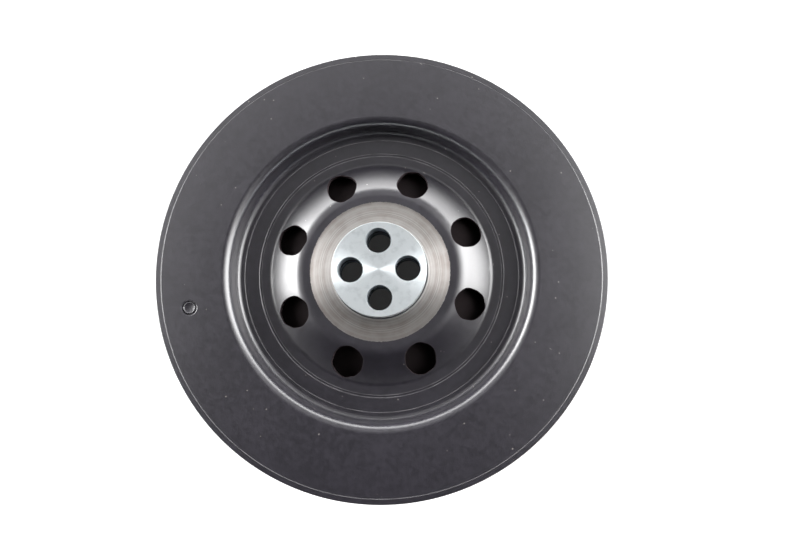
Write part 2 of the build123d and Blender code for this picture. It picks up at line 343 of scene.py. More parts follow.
def band(run: Run, row: HoleRow, outside: float) -> list[Patch]:
    """The surface of a band of radii with its holes left open.

    Round a hole it runs in straight lines, in radius and angle, from the hole's outline to its window's
    border; elsewhere it is a plain turned strip. Heights and normals come from the stretch.

    Args:
        run: The stretch that gives height and normal for each radius.
        row: The holes.
        outside: How far outside the holes' walls the surface starts, in mm.

    Returns:
        The patches.
    """
    def on_surface(r: np.ndarray, a: np.ndarray) -> Patch:
        """Lays a patch on the surface.

        Args:
            r: The radii in mm.
            a: The angles in radians.

        Returns:
            The patch.
        """
        heights, lean = run.at(r)
        points = np.stack((r * np.cos(a), r * np.sin(a), heights), axis=-1)
        normals = np.stack((lean[..., 0] * np.cos(a), lean[..., 0] * np.sin(a), lean[..., 1]), axis=-1)
        return Patch(points, normals)

    patches: list[Patch] = []
    taken = np.zeros(SEGMENTS, bool)
    shares = (np.linspace(0, 1, row.rings + 1) ** 1.4)[:, None]
    for hole in range(row.count):
        taken[(row.first_column(hole) + np.arange(row.columns)) % SEGMENTS] = True
        border_r, border_a = row.border(hole)
        x, y = row.rim(hole, outside)
        rim_r = np.hypot(x, y)
        rim_a = border_a + np.angle(np.exp(1j * (np.arctan2(y, x) - border_a)))
        patches.append(on_surface(rim_r + shares * (border_r - rim_r), rim_a + shares * (border_a - rim_a)))
    if not taken.all():
        start = int(np.flatnonzero(taken & ~np.roll(taken, -1))[0]) + 1
        columns = start + np.arange(int((~taken).sum()) + 1)
        a, r = np.meshgrid(2 * pi * columns / SEGMENTS, row.radii())
        patches.append(on_surface(r, a))
    return patches


def hole_walls(front: Run, back: Run, row: HoleRow) -> list[Patch]:
    """The walls of a row of holes, from the front face's edge down to the back face's.

    Args:
        front: The stretch of the front face at the holes.
        back: The stretch of the back face there.
        row: The holes.

    Returns:
        One patch for each wall if its edges are soft, and otherwise one for each step of its edges.
    """
    patches: list[Patch] = []
    for hole in range(row.count):
        centre = radians(row.turn + 360 * hole / row.count)
        axis = np.array((row.circle * cos(centre), row.circle * sin(centre), 0.0))
        levels = []
        for face, edge, into in ((front, row.front_edge, -1), (back, row.back_edge[::-1], 1)):
            for outside, depth in edge:
                x, y = row.rim(hole, outside)
                heights, _ = face.at(np.hypot(x, y))
                levels.append(np.stack((x, y, heights + into * depth), axis=-1))
        pairs = [levels] if row.soft_edges else zip(levels, levels[1:])
        for points in map(np.array, pairs):
            normals = grid_normals(points)
            inward = ((axis - points) * normals * (1, 1, 0)).sum()
            upward = normals[..., 2].sum()
            patches.append(Patch(points, normals if inward + upward > 0 else -normals, row.wall_finish))
    return patches


def perforated(front: Sequence[Run], back: Sequence[Run], rows: Sequence[HoleRow]) -> list[Patch]:
    """The whole surface of a turned sheet with rows of holes in it.

    Args:
        front: The stretches of the front face, from the rim to the axis.
        back: The stretches of the back face, from the axis to the rim.
        rows: The rows of holes, whose bands lie within one stretch of each face.

    Returns:
        The patches of both faces and of the holes' walls.
    """
    patches: list[Patch] = []
    faces_at: dict[HoleRow, list[Run]] = {row: [] for row in rows}
    for runs, edge_name in ((front, "front_edge"), (back, "back_edge")):
        for run in runs:
            low, high = sorted((run.points[0, 0], run.points[-1, 0]))
            inside = [row for row in rows if row.inner >= low - 1e-6 and row.outer <= high + 1e-6]
            inside.sort(key=lambda row: row.inner)
            if not inside:
                patches.append(revolved(run))
                continue
            for row in inside:
                if row.inner > low + 1e-6:
                    patches.append(revolved(run.between(low, row.inner)))
                patches.extend(band(run, row, getattr(row, edge_name)[0][0]))
                faces_at[row].append(run)
                low = row.outer
            if high > low + 1e-6:
                patches.append(revolved(run.between(low, high)))
    for row, (front_run, back_run) in faces_at.items():
        patches.extend(hole_walls(front_run, back_run, row))
    return patches


def mesh_of(name: str, patches: Sequence[Patch],
            centre: tuple[float, float] = (0.0, 0.0)) -> bpy.types.Mesh:
    """Joins patches to one closed mesh that shades by their own normals.

    Each cell of a grid is a face, turned so that it looks along the normals given. Points that meet are
    merged, and the normals are kept for each corner of each face, so an edge between patches stays crisp.

    Args:
        name: Name of the mesh.
        patches: The patches, in mm.
        centre: X and Y in mm of the axis that the patches were turned about.

    Returns:
        The mesh, in metres.
    """
    all_points, all_normals, all_faces, all_finishes = [], [], [], []
    start = 0
    for patch in patches:
        rows, columns = patch.points.shape[:2]
        index = start + np.arange(rows * columns).reshape(rows, columns)
        cells = (index[:-1, :-1], index[:-1, 1:], index[1:, 1:], index[1:, :-1])
        faces = np.stack(cells, axis=-1).reshape(-1, 4)
        flat, lean = patch.points.reshape(-1, 3), patch.normals.reshape(-1, 3)
        corners = flat[faces - start]
        facing = np.cross(corners[:, 2] - corners[:, 0], corners[:, 3] - corners[:, 1])
        if (facing * lean[faces - start].mean(axis=1)).sum() < 0:
            faces = faces[:, ::-1]
        all_points.append(flat)
        all_normals.append(lean)
        all_faces.append(faces)
        all_finishes.append(np.full(len(faces), patch.finish, np.int32))
        start += rows * columns
    points = (np.concatenate(all_points) + (*centre, 0.0)) * MM
    faces = np.concatenate(all_faces)
    mesh = bpy.data.meshes.new(name)
    mesh.vertices.add(len(points))
    mesh.vertices.foreach_set("co", points.ravel())
    mesh.loops.add(faces.size)
    mesh.loops.foreach_set("vertex_index", faces.ravel())
    mesh.polygons.add(len(faces))
    mesh.polygons.foreach_set("loop_start", np.arange(0, faces.size, 4))
    mesh.polygons.foreach_set("material_index", np.concatenate(all_finishes))
    mesh.update(calc_edges=True)
    kept = mesh.attributes.new("profile_normal", "FLOAT_VECTOR", "CORNER")
    kept.data.foreach_set("vector", np.concatenate(all_normals)[faces.ravel()].ravel())
    merged = bmesh.new()
    merged.from_mesh(mesh)
    bmesh.ops.remove_doubles(merged, verts=merged.verts, dist=MERGE * MM)
    merged.to_mesh(mesh)
    open_edges = sum(len(edge.link_faces) != 2 for edge in merged.edges)
    merged.free()
    if open_edges:
        log.warning("%s has %d edges without two faces", name, open_edges)
    normals = np.empty(len(mesh.loops) * 3, np.float32)
    mesh.attributes["profile_normal"].data.foreach_get("vector", normals)
    mesh.attributes.remove(mesh.attributes["profile_normal"])
    mesh.shade_smooth()
    mesh.normals_split_custom_set(normals.reshape(-1, 3))
    return mesh


def add_piece(name: str, mesh: bpy.types.Mesh, material: bpy.types.Material, body: Body,
              inside: bpy.types.Material | None = None) -> None:
    """Puts a mesh in the scene in place of the CAD node of the same name, on that node's body.

    Args:
        name: Name of the CAD node; the piece is named after it.
        mesh: The mesh.
        material: Its finish.
        body: The CAD body that it moves with.
        inside: Its second finish, for the walls of its holes, if it has one.
    """
    mesh.materials.append(material)
    if inside is not None:
        mesh.materials.append(inside)
    piece = bpy.data.objects.new(f"{name}_finished", mesh)
    bpy.context.scene.collection.objects.link(piece)
    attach(piece, body.value)
    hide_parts(name)
    log.info("%s: %d faces, finish %s", piece.name, len(mesh.polygons), material.name)


def turned_piece(name: str, profile: Sequence[Corner], material: bpy.types.Material, body: Body,
                 arc_step: float = 6.0) -> None:
    """Builds a solid of revolution from its closed profile and puts it in its node's place.

    Args:
        name: Name of the CAD node.
        profile: The profile's corners, the material on the left.
        material: Its finish.
        body: The CAD body that it moves with.
        arc_step: Largest turn between two points of a bend, in degrees.
    """
    mesh = mesh_of(f"{name}_finished", [revolved(run) for run in runs_of(profile, arc_step=arc_step)])
    add_piece(name, mesh, material, body)


def levels_of(name: str) -> tuple[float, float]:
    """The lowest and the highest level of a CAD node, in mm."""
    low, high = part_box(name)
    return low.z / MM, high.z / MM


# ---- finishes ------------------------------------------------------------------------------


def linear(hex_colour: str) -> tuple[float, float, float, float]:
    """Turns an sRGB colour such as "#4b4a4f" to linear red, green, blue and alpha.

    Each channel c is c / 12.92 up to 0.04045, and ((c + 0.055) / 1.055) to the power 2.4 above it.
    """
    channels = [int(hex_colour[i:i + 2], 16) / 255 for i in (1, 3, 5)]
    return (*(c / 12.92 if c <= 0.04045 else ((c + 0.055) / 1.055) ** 2.4 for c in channels), 1.0)


Link = bpy.types.Node | bpy.types.NodeSocket | float | tuple | str
Links = dict[str | int, Link]


def add(tree: bpy.types.NodeTree, kind: str, links: Links, **settings: object) -> bpy.types.Node:
    """Adds a shader node with its settings and links.

    Args:
        tree: The node tree.
        kind: The node's type, without ShaderNode in front.
        links: Input name or index to a value, an sRGB hex colour, or what feeds it: an output, or a node,
            which stands for its first output in use.
        settings: The node's own properties.

    Returns:
        The node.
    """
    made = tree.nodes.new(f"ShaderNode{kind}")
    for name, value in settings.items():
        setattr(made, name, value)
    for key, value in links.items():
        if isinstance(value, str):
            value = linear(value)
        elif isinstance(value, bpy.types.Node):
            value = next(output for output in value.outputs if output.enabled)
        if isinstance(value, bpy.types.NodeSocket):
            tree.links.new(value, made.inputs[key])
        else:
            made.inputs[key].default_value = value
    return made


SMOOTH = {"interpolation_type": "SMOOTHSTEP"}    # the Map Range setting for a step with soft ends
COLOURS = {"data_type": "RGBA"}                  # the Mix setting for colours


def ramp(value: Link, low: float, high: float, to_low: float = 0.0, to_high: float = 1.0) -> Links:
    """The inputs that make Map Range go from to_low at low to to_high at high."""
    return {"Value": value, "From Min": low, "From Max": high, "To Min": to_low, "To Max": to_high}


def relief(height: Link, depth: float) -> Links:
    """The inputs that make Bump raise a surface by a height, from 0 to 1, times a depth in mm."""
    return {"Height": height, "Distance": depth * MM}


def blend(share: Link, first: Link, second: Link) -> Links:
    """The inputs that make Mix, set to colours, go from one colour to another."""
    return {0: share, 6: first, 7: second}


@dataclass
class Sheet:
    """The node tree of one material, with the places its patterns share. Lengths in the tree are in mm."""

    name: str

    def __post_init__(self) -> None:
        """Makes the material and the nodes that give place, radius and direction round the axis."""
        self.material = bpy.data.materials.new(self.name)
        self.material.use_nodes = True
        self.tree = self.material.node_tree
        self.tree.nodes.clear()
        place = add(self.tree, "TexCoord", {}).outputs["Object"]
        self.place = add(self.tree, "VectorMath", {0: place, "Scale": 1 / MM}, operation="SCALE")
        flat = add(self.tree, "VectorMath", {0: self.place, 1: (1, 1, 0)}, operation="MULTIPLY")
        self.radius = add(self.tree, "VectorMath", {0: flat}, operation="LENGTH")
        self.across = add(self.tree, "VectorMath", {0: flat}, operation="NORMALIZE")

    def noise(self, size: float, detail: float = 2.0, rough: float = 0.5) -> Links:
        """The inputs of a noise from 0 to 1 whose features are this many mm across."""
        return {"Vector": self.place, "Scale": 1 / size, "Detail": detail, "Roughness": rough}

    def lathe_marks(self, pitch: float, detail: float = 3.0) -> bpy.types.Node:
        """Noise, from 0 to 1, that changes with the radius alone, as a lathe tool's marks do, pitch in mm."""
        links = {"W": self.radius, "Scale": 1 / pitch, "Detail": detail, "Roughness": 0.7}
        return add(self.tree, "TexNoise", links, noise_dimensions="1D")

    def finish(self, shader: bpy.types.Node) -> bpy.types.Material:
        """Feeds the shader to the output and gives the finished material."""
        add(self.tree, "OutputMaterial", {"Surface": shader})
        return self.material


@dataclass(frozen=True)
class TurnedSeat:
    """Steel turned bright through the coat: tool marks run round it, with a little rust between them.

    The coat's edge round it is ragged, because the tool chips it. Sizes are in mm: the marks' pitch and
    depth, the widths of a band of marks, of a stain and of a chip, and how far the edge wanders.
    """

    inner: float = 21.3
    outer: float = 31.2
    bright: str = "#e4dfdb"
    dull: str = "#c4b8b2"
    rust: str = "#7f706a"
    pitch: float = 0.5           # real marks are finer; this is as fine as shows
    mark_depth: float = 0.012
    band: float = 2.6
    stain: float = 6.0
    band_share: float = 0.65
    edge_grain: float = 1.1
    edge_wander: float = 0.9

    def shader(self, sheet: Sheet) -> bpy.types.Node:
        """Makes the steel's shader.

        Args:
            sheet: The material.

        Returns:
            The shader.
        """
        tree = sheet.tree
        marks = sheet.lathe_marks(self.pitch, 4.0)
        bands = sheet.lathe_marks(self.band, 2.0)
        bands = add(tree, "Math", {0: bands, 1: self.band_share}, operation="MULTIPLY")
        stain = add(tree, "TexNoise", sheet.noise(self.stain, 4.0))
        stain = add(tree, "Math", {0: stain, 1: 1 - self.band_share, 2: bands}, operation="MULTIPLY_ADD")
        share = add(tree, "MapRange", ramp(stain, 0.4, 0.7), **SMOOTH)
        colour = add(tree, "Mix", blend(share, self.bright, self.dull), **COLOURS)
        share = add(tree, "MapRange", ramp(marks, 0.5, 0.75, 0.0, 0.55), **SMOOTH)
        colour = add(tree, "Mix", blend(share, colour, self.rust), **COLOURS)
        return add(tree, "BsdfPrincipled", {
            "Base Color": colour, "Metallic": 0.85, "Anisotropic": 0.85, "Tangent": sheet.across,
            "Roughness": add(tree, "MapRange", ramp(marks, 0.3, 0.7, 0.36, 0.46), **SMOOTH),
            "Normal": add(tree, "Bump", relief(marks, self.mark_depth)),
        })

    def bare(self, sheet: Sheet) -> bpy.types.Node:
        """Works out where the steel is bare, from its radius and the ragged edge of the coat.

        Args:
            sheet: The material.

        Returns:
            1 where it is bare and 0 where it is coated.
        """
        tree = sheet.tree
        grain = add(tree, "TexNoise", sheet.noise(self.edge_grain, 4.0, 0.7))
        ragged = add(tree, "Math", {0: grain, 1: self.edge_wander, 2: sheet.radius}, operation="MULTIPLY_ADD")
        middle = self.outer + self.edge_wander / 2
        within = add(tree, "MapRange", ramp(ragged, middle + 0.05, middle - 0.03), **SMOOTH)
        beyond = add(tree, "MapRange", ramp(sheet.radius, self.inner, self.inner + 0.1), **SMOOTH)
        return add(tree, "Math", {0: within, 1: beyond}, operation="MULTIPLY")


@dataclass(frozen=True)
class Dust:
    """Marks that lie scattered in a coat, as dots or as threads that all lie one way.

    The size is the radius or half width of a mark in mm, and longer is how many times longer than wide it is.
    The turn is the way it lies, in degrees about Z. The share, from 0 to 1, is how many of the places, which
    lie a spacing in mm apart, have one.
    """

    size: float
    longer: float
    turn: float
    share: float
    spacing: float = 5.0

    def marks(self, sheet: Sheet) -> bpy.types.Node:
        """Scatters the marks: one at a random place in each cell, in some cells only.

        Args:
            sheet: The material.

        Returns:
            1 in a mark and 0 outside it.
        """
        tree = sheet.tree
        turned = add(tree, "VectorRotate", {"Vector": sheet.place, "Angle": radians(self.turn)},
                     rotation_type="Z_AXIS")
        squeezed = add(tree, "VectorMath", {0: turned, 1: (1 / self.longer, 1, 1)}, operation="MULTIPLY")
        cells = add(tree, "TexVoronoi", {"Vector": squeezed, "Scale": 1 / self.spacing}).outputs
        width = self.size / self.spacing
        inside = add(tree, "MapRange", ramp(cells["Distance"], width, 0.4 * width), **SMOOTH)
        chosen = add(tree, "Math", {0: cells["Color"], 1: 1 - self.share}, operation="GREATER_THAN")
        return add(tree, "Math", {0: inside, 1: chosen}, operation="MULTIPLY")


@dataclass(frozen=True)
class WornEdgeAndHighlight:
    """A light grey line painted round a circle: steel where the coat drew back from an edge, and a painted
    highlight of that edge. In mm.
    """

    radius: float
    half_width: float
    patches: float = 7.0

    def shows(self, sheet: Sheet) -> bpy.types.Node:
        """Works out how much light grey is painted along the circle, as bare steel and as painted highlight.

        Args:
            sheet: The material.

        Returns:
            0 off the circle, and up to 0.8 along it.
        """
        tree = sheet.tree
        off = add(tree, "Math", {0: sheet.radius, 1: self.radius}, operation="SUBTRACT")
        off = add(tree, "Math", {0: off}, operation="ABSOLUTE")
        near = add(tree, "MapRange", ramp(off, self.half_width + 0.08, self.half_width - 0.04), **SMOOTH)
        patches = add(tree, "TexNoise", sheet.noise(self.patches, 3.0))
        patches = add(tree, "MapRange", ramp(patches, 0.3, 0.6, 0.3, 0.8), **SMOOTH)
        return add(tree, "Math", {0: near, 1: patches}, operation="MULTIPLY")


@dataclass(frozen=True)
class DipCoat:
    """Black epoxy dip coat, baked: an even film that flows a little, so it shines softly and dust shows."""

    name: str = "black_dip_coat"
    film: str = "#25232a"
    thin_film: str = "#2f2c35"
    flow: float = 1.6            # width in mm of the film's waves
    flow_depth: float = 0.006
    grain: float = 0.28
    grain_depth: float = 0.0014
    cloud: float = 23.0
    mottle: float = 2.2
    mottle_share: float = 0.75
    roughness: tuple[float, float] = (0.32, 0.38)
    dust_colour: str = "#a39d99"
    dust_cover: float = 0.8
    dust: tuple[Dust, ...] = (
        Dust(0.42, 1.0, 0.0, 0.5), Dust(0.2, 5.0, 35.0, 0.4), Dust(0.18, 6.0, 100.0, 0.4),
    )
    steel: str = "#8d8b8e"
    # light grey of the worn edges, which also paints their highlights
    worn_edges_and_highlights: tuple[WornEdgeAndHighlight, ...] = ()
    seat: TurnedSeat | None = None

    def coat(self, sheet: Sheet) -> bpy.types.Node:
        """Makes the film's shader.

        Args:
            sheet: The material.

        Returns:
            The shader.
        """
        tree = sheet.tree
        cloud = add(tree, "TexNoise", sheet.noise(self.cloud, 4.0))
        cloud = add(tree, "Math", {0: cloud, 1: 1 - self.mottle_share}, operation="MULTIPLY")
        mottle = add(tree, "TexNoise", sheet.noise(self.mottle, 4.0, 0.65))
        uneven = add(tree, "Math", {0: mottle, 1: self.mottle_share, 2: cloud}, operation="MULTIPLY_ADD")
        thin = add(tree, "MapRange", ramp(uneven, 0.35, 0.65), **SMOOTH)
        colour = add(tree, "Mix", blend(thin, self.film, self.thin_film), **COLOURS)
        for dust in self.dust:
            share = add(tree, "Math", {0: dust.marks(sheet), 1: self.dust_cover}, operation="MULTIPLY")
            colour = add(tree, "Mix", blend(share, colour, self.dust_colour), **COLOURS)
        # light grey lines: worn coat, and painted highlights along edges
        for edge in self.worn_edges_and_highlights:
            colour = add(tree, "Mix", blend(edge.shows(sheet), colour, self.steel), **COLOURS)
        waves = add(tree, "TexNoise", sheet.noise(self.flow))
        waves = add(tree, "Bump", relief(waves, self.flow_depth))
        fine = add(tree, "TexNoise", sheet.noise(self.grain, 2.0, 0.6))
        fine = add(tree, "Bump", {**relief(fine, self.grain_depth), "Normal": waves})
        return add(tree, "BsdfPrincipled", {
            "Base Color": colour, "Normal": fine, "IOR": 1.65, "Specular IOR Level": 0.85,
            "Roughness": add(tree, "MapRange", ramp(uneven, 0.35, 0.65, *self.roughness), **SMOOTH),
            "Coat Weight": 1.0, "Coat Roughness": 0.31, "Coat IOR": 1.7, "Coat Normal": fine,
        })

    def material(self) -> bpy.types.Material:
        """Makes the finished material.

        Returns:
            The coat, with its turned seat if it has one.
        """
        sheet = Sheet(self.name)
        shader = self.coat(sheet)
        if self.seat:
            links = {0: self.seat.bare(sheet), 1: shader, 2: self.seat.shader(sheet)}
            shader = add(sheet.tree, "MixShader", links)
        return sheet.finish(shader)


@dataclass(frozen=True)
class ZincPlate:
    """Bright zinc over a face turned on a lathe: the fine marks fan the light out at right angles to them."""

    name: str = "bright_zinc_plate"
    colour: str = "#dfe5e8"
    shadow: str = "#c3cacd"
    cloud: float = 3.5
    pitch: float = 0.5           # real marks are finer; this is as fine as shows
    mark_depth: float = 0.002

    def material(self) -> bpy.types.Material:
        """Makes the finished material.

        Returns:
            The plated face.
        """
        sheet = Sheet(self.name)
        tree = sheet.tree
        marks = sheet.lathe_marks(self.pitch)
        cloud = add(tree, "TexNoise", sheet.noise(self.cloud, 3.0))
        share = add(tree, "MapRange", ramp(cloud, 0.45, 0.75, 0.0, 0.6), **SMOOTH)
        colour = add(tree, "Mix", blend(share, self.colour, self.shadow), **COLOURS)
        return sheet.finish(add(tree, "BsdfPrincipled", {
            "Base Color": colour, "Metallic": 0.48, "Anisotropic": 1.0, "Tangent": sheet.across,
            "Roughness": add(tree, "MapRange", ramp(marks, 0.3, 0.7, 0.4, 0.46), **SMOOTH),
            "Normal": add(tree, "Bump", relief(marks, self.mark_depth)),
        }))


@dataclass(frozen=True)
class TurnedSteel:
    """Bare steel off the lathe, oiled: greyer than the zinc, with coarser marks."""

    name: str = "oiled_turned_steel"
    colour: str = "#a7a39e"
    stain_colour: str = "#7c746c"
    stain: float = 8.0
    pitch: float = 0.6
    mark_depth: float = 0.006
    roughness: float = 0.32

    def material(self) -> bpy.types.Material:
        """Makes the finished material.

        Returns:
            The turned steel.
        """
        sheet = Sheet(self.name)
        tree = sheet.tree
        marks = sheet.lathe_marks(self.pitch)
        rough = ramp(marks, 0.2, 0.8, self.roughness, self.roughness + 0.1)
        stain = add(tree, "TexNoise", sheet.noise(self.stain, 4.0))
        stain = add(tree, "MapRange", ramp(stain, 0.4, 0.75), **SMOOTH)
        colour = blend(stain, self.colour, self.stain_colour)
        return sheet.finish(add(tree, "BsdfPrincipled", {
            "Base Color": add(tree, "Mix", colour, **COLOURS), "Metallic": 0.9, "Anisotropic": 0.6,
            "Tangent": sheet.across, "Roughness": add(tree, "MapRange", rough, **SMOOTH),
            "Normal": add(tree, "Bump", relief(marks, self.mark_depth)),
        }))


@dataclass(frozen=True)
class Matt:
    """A matt surface: rubber or plastic with the mould's fine grain, or steel under crystals of phosphate."""

    name: str
    colour: str
    cloud_colour: str
    roughness: float
    gloss: float = 0.5
    cloud: float = 11.0
    patches: float = 4.0
    grain: float = 0.35
    grain_depth: float = 0.006

    def material(self) -> bpy.types.Material:
        """Makes the finished material.

        Returns:
            The matt surface.
        """
        sheet = Sheet(self.name)
        tree = sheet.tree
        cloud = add(tree, "TexNoise", sheet.noise(self.cloud, 3.0))
        colour = blend(cloud, self.colour, self.cloud_colour)
        patches = add(tree, "TexNoise", sheet.noise(self.patches))
        rough = ramp(patches, 0.3, 0.7, self.roughness - 0.05, self.roughness + 0.05)
        grain = add(tree, "TexNoise", sheet.noise(self.grain))
        return sheet.finish(add(tree, "BsdfPrincipled", {
            "Base Color": add(tree, "Mix", colour, **COLOURS), "Specular IOR Level": self.gloss,
            "Roughness": add(tree, "MapRange", rough, **SMOOTH),
            "Normal": add(tree, "Bump", relief(grain, self.grain_depth)),
        }))


@dataclass(frozen=True)
class Finishes:
    """The finished materials of the object, one for each way a surface was made."""

    coat: bpy.types.Material
    front_coat: bpy.types.Material
    # painted lighter than the film to lift the shade inside the holes
    thin_coat_painted_lighter: bpy.types.Material
    bore: bpy.types.Material
    zinc: bpy.types.Material
    turned: bpy.types.Material
    spring: bpy.types.Material
    iron: bpy.types.Material
    phosphate: bpy.types.Material
    rubber: bpy.types.Material
    plastic: bpy.types.Material

    @classmethod
    def made(cls) -> "Finishes":
        """Makes them all.

        Returns:
            The materials.
        """
        # Painted light grey lines along the rim's seam and the annulus's grooves: worn coat and painted
        # highlights.
        worn_edges_and_highlights = (WornEdgeAndHighlight(97.4, 0.1), WornEdgeAndHighlight(62.4, 0.13), WornEdgeAndHighlight(56.0, 0.12), WornEdgeAndHighlight(54.9, 0.16))
        finishes = {
            "coat": DipCoat(),
            "front_coat": DipCoat("black_dip_coat_with_turned_seat", worn_edges_and_highlights=worn_edges_and_highlights, seat=TurnedSeat()),
            # holes' walls: a thin dull coat, painted lighter than the film to lift the shade inside the holes
            "thin_coat_painted_lighter": Matt("thin_dip_coat_painted_lighter", "#3d3437", "#453b3e", 0.85, 0.3),
            "bore": Matt("dull_zinc_in_a_bore", "#9ca3a9", "#8d9499", 0.7),
            "zinc": ZincPlate(),
            "turned": TurnedSteel(),
            "spring": TurnedSteel("phosphated_spring_steel", "#4a4a4c", "#3a3836", roughness=0.42),
            "iron": TurnedSteel("turned_cast_iron", "#77777a", "#5d5c5d", roughness=0.45),
            "phosphate": Matt("phosphated_steel", "#2a2425", "#241f20", 0.85, 0.1),
            "rubber": Matt("moulded_black_rubber", "#1b1b1c", "#232324", 0.6),
            "plastic": Matt("moulded_bearing_plastic", "#cfc8b4", "#bdb49c", 0.45),
        }
        return cls(**{part: finish.material() for part, finish in finishes.items()})


# ---- the object's pieces -------------------------------------------------------------------


@dataclass(frozen=True)
class BoltCircle:
    """The four bolt holes that the disc, the cover and the hub share. Millimetres and degrees."""

    circle: float = 12.5
    count: int = 4
    turn: float = 1.6
    radius: float = 5.5
    inner: float = 4.0

    def row(self, outer: float, bevel: float = 0.0) -> HoleRow:
        """Sets the holes in a band of radii that reaches in under the bolt circle.

        Args:
            outer: The band's outer radius.
            bevel: The bevel of the holes on the front face.

        Returns:
            The holes.
        """
        edge = ((bevel, 0.0), (0.0, bevel)) if bevel else ((0.0, 0.0),)
        return HoleRow(self.circle, self.count, self.turn, self.radius, self.inner, outer,
                       columns=SEGMENTS // self.count, front_edge=edge, wall_finish=1)


@dataclass(frozen=True)
class Groove:
    """A shallow groove round the annulus, its flanks at 45 degrees. Millimetres."""

    radius: float
    width: float
    depth: float

    def runs(self, level: float) -> list[Run]:
        """Cuts the groove into a flat.

        Args:
            level: The flat's level.

        Returns:
            The stretches, from outside to inside.
        """
        outer, inner = self.radius + self.width / 2, self.radius - self.width / 2
        corners = ((outer, level), (outer - self.depth, level - self.depth),
                   (inner + self.depth, level - self.depth), (inner, level))
        return runs_of([Corner(*corner) for corner in corners], closed=False)


@dataclass(frozen=True)
class FrontPressing:
    """The drawn and turned cover: rim, flat, rolled wall, annulus, cone with vents, hub seat. Millimetres.

    The cover falls away a little towards its rim, from the crown's corner outwards.
    """

    finishes: Finishes
    face: float = 12.0
    sheet: float = 3.5
    rim: float = 97.47
    rim_bevel: float = 0.25
    rim_drop: float = 0.05
    crown_corner: float = 84.2
    crown_angle: float = 1.8
    crown_bend: float = 780.0
    cover_roll: float = 4.0
    wall_foot: float = 66.1
    wall_taper: float = 4.0
    wall_foot_bend: float = 2.5
    annulus: float = 1.1
    weld_lines: tuple[Groove, ...] = (Groove(62.4, 0.6, 0.12), Groove(55.45, 1.1, 0.3))
    cone_foot: float = 50.5
    cone_foot_bend: float = 3.0
    cone_angle: float = 32.0
    dome_bend: float = 8.5
    seat: float = 10.0
    bare_radius: float = 31.2
    bare_level: float = 9.85
    recess_radius: float = 21.0
    recess_bevel: float = 0.7
    recess_level: float = 9.05
    bolt_band: float = 20.6
    vents: HoleRow = HoleRow(
        circle=42.55, count=8, turn=25.15, radius=7.0, inner=35.0, outer=50.2, columns=45,
        front_edge=((0.14, 0.0), (0.05, 0.03), (0.0, 0.1)), back_edge=((0.12, 0.0), (0.0, 0.12)),
        soft_edges=True, ragged=0.19, seed=11, wall_finish=1,
    )
    plug_mouth: HoleRow = HoleRow(
        circle=85.7, count=1, turn=191.2, radius=2.64, inner=80.0, outer=91.4, columns=9,
        front_edge=((1.0, 0.0), (0.86, 0.06), (0.5, 0.08), (0.41, 0.5), (0.41, 1.2), (0.0, 1.2)),
    )

    def crowned(self, radius: float) -> float:
        """The cover's level near its rim: its face, less what it falls outside the crown's corner."""
        return self.face - (radius - self.crown_corner) * tan(radians(self.crown_angle))

    def rim_edge(self) -> Corner:
        """The corner where the cover's face meets its rim, below the crowned face by the rim's drop."""
        return Corner(self.rim, self.crowned(self.rim) - self.rim_drop)

    def drawn(self, *rim: Corner) -> Run:
        """Works out the drawn sheet's front face in one stretch.

        Args:
            rim: The corners near the rim that it starts from.

        Returns:
            The stretch, from the rim to the axis.
        """
        wall_top = self.wall_foot + (self.face - self.annulus) * tan(radians(self.wall_taper))
        dome_corner = self.cone_foot - (self.seat - self.annulus) / tan(radians(self.cone_angle))
        corners = (
            *rim,
            Corner(wall_top, self.face, self.cover_roll),
            Corner(self.wall_foot, self.annulus, self.wall_foot_bend),
            Corner(self.cone_foot, self.annulus, self.cone_foot_bend),
            Corner(dome_corner, self.seat, self.dome_bend),
            Corner(0, self.seat),
        )
        return runs_of(corners, closed=False, arc_step=4.0)[0]

    def front(self) -> list[Run]:
        """Works out the front face: the drawn sheet with its grooves, and the turned seat in its middle.

        Returns:
            The stretches, from the rim to the axis.
        """
        bevel_end = Corner(self.rim - self.rim_bevel, self.crowned(self.rim - self.rim_bevel))
        drawn = self.drawn(bevel_end, Corner(self.crown_corner, self.face, self.crown_bend))
        runs = runs_of((self.rim_edge(), bevel_end), closed=False)
        outer = bevel_end.r
        for groove in self.weld_lines:
            runs.append(drawn.between(groove.radius + groove.width / 2, outer))
            runs.extend(groove.runs(self.annulus))
            outer = groove.radius - groove.width / 2
        runs.append(drawn.between(self.bare_radius, outer))
        turned = (
            Corner(self.bare_radius, self.seat),
            Corner(self.bare_radius, self.bare_level),
            Corner(self.recess_radius + self.recess_bevel, self.bare_level),
            Corner(self.recess_radius, self.bare_level - self.recess_bevel),
            Corner(self.recess_radius, self.recess_level),
            Corner(0, self.recess_level),
        )
        return runs + runs_of(turned, closed=False)

    def build(self) -> None:
        """Builds the pressing with its bolt holes, vents and the filler plug's mouth."""
        back = self.drawn(Corner(self.rim, self.face)).back(self.sheet)
        rim = runs_of((Corner(self.rim, self.face - self.sheet), self.rim_edge()), closed=False)
        rows = (BoltCircle().row(self.bolt_band), self.vents, self.plug_mouth)
        mesh = mesh_of("front_pressing_finished", perforated(self.front(), [back, *rim], rows))
        add_piece("front_pressing", mesh, self.finishes.front_coat, Body.HOUSING,
                  self.finishes.thin_coat_painted_lighter)


